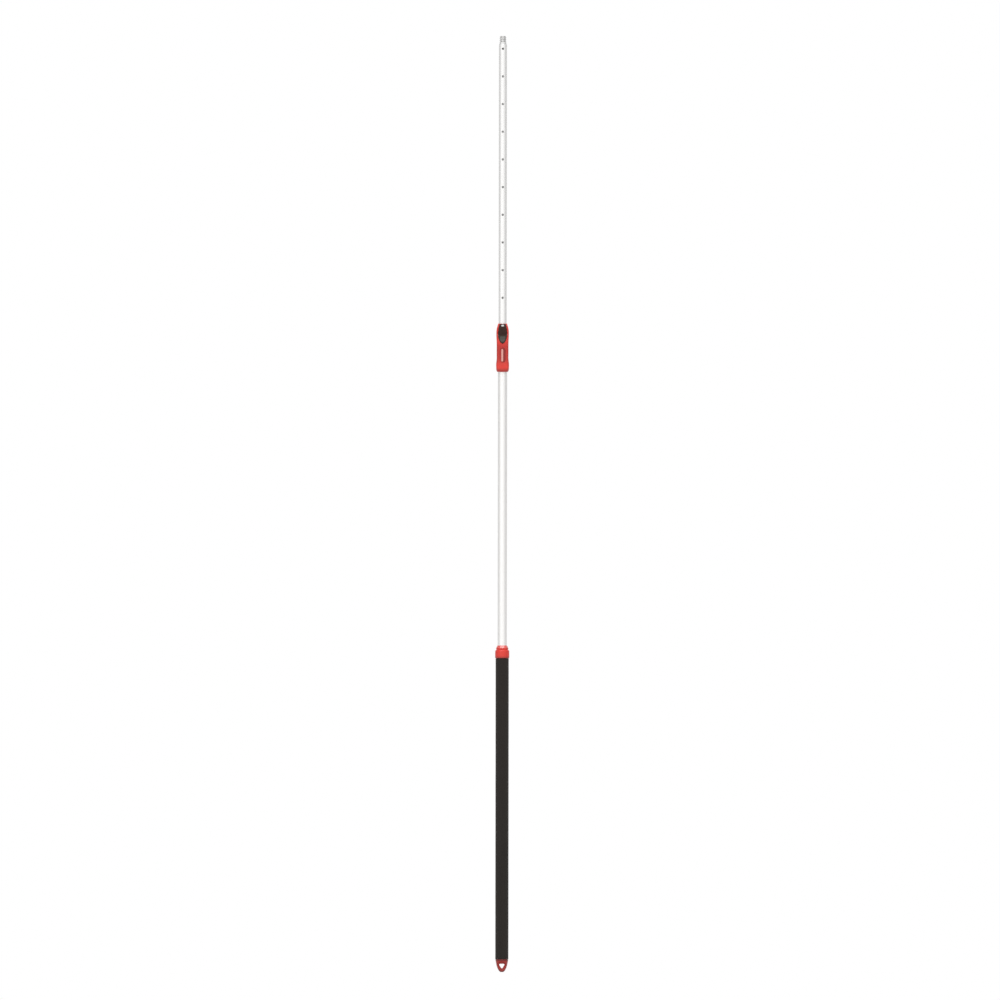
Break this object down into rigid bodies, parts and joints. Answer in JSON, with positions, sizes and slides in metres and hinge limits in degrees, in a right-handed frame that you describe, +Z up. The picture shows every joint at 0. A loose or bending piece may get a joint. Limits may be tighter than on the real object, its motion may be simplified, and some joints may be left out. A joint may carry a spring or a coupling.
{
  "type": "telescopic window cleaning pole",
  "caption": "Telescopic pole: holed inner tube slides in an outer tube, a thumb lever drives a lock pin, with foam grip, collar, hanging end cap and threaded tool tip.",
  "frame": {"origin": "centre of the end cap's foot, on the pole's axis", "axes": "+Z up the pole towards the tool tip; the index holes and the thumb lever face -Y; +X is the pole's right seen from the front"},
  "size_m": [0.039, 0.0446, 2.577],
  "materials": {
    "aluminium_tube": "satin anodised, drawn lengthwise",
    "cast_metal": "machined and lightly tumbled",
    "steel_bright": "bright zinc plated",
    "steel_dark": "plain steel",
    "aluminium_rivet": "plain",
    "red_plastic": "semi-gloss moulded",
    "black_plastic": "satin moulded",
    "black_rubber": "soft matt",
    "black_foam": "closed-cell foam, matt skin",
    "white_acetal": "turned acetal",
    "felt": "pressed felt",
    "pale_inlay": "satin"
  },
  "bodies": {
    "handle": {"outer_tube": "aluminium_tube", "end_cap": "red_plastic", "end_cap_rivets": "aluminium_rivet", "foam_grip": "black_foam", "grip_collar": "red_plastic", "collar_screw": "steel_dark", "lock_housing": "red_plastic", "housing_screws": "steel_dark", "inlay_plate": "pale_inlay", "guide_bush": "white_acetal", "wiper_ring": "felt", "pivot_pin": "steel_bright", "lever_spring": "steel_bright"},
    "inner_section": {"inner_tube": "aluminium_tube", "threaded_tip": "cast_metal", "tip_pin": "steel_bright", "inner_bush": "white_acetal", "bush_ring": "black_rubber", "inner_bush_rivet": "aluminium_rivet"},
    "lever": {"lock_lever": "black_plastic", "thumb_pad": "black_rubber", "lock_pin": "steel_bright"}
  },
  "joints": [
    {"name": "telescope", "type": "slide", "parent": "handle", "child": "inner_section", "axis": [0, 0, 1], "range_m": [-0.762, 0.762]},
    {"name": "lever_turn", "type": "hinge", "parent": "handle", "child": "lever", "pos_m": [0, -0.0185, 1.754], "axis": [-1, 0, 0], "range_deg": [0, 7.8], "stiffness_Nm_per_rad": 0.45, "springref_deg": 17.19, "deforming": ["lever_spring"]}
  ]
}
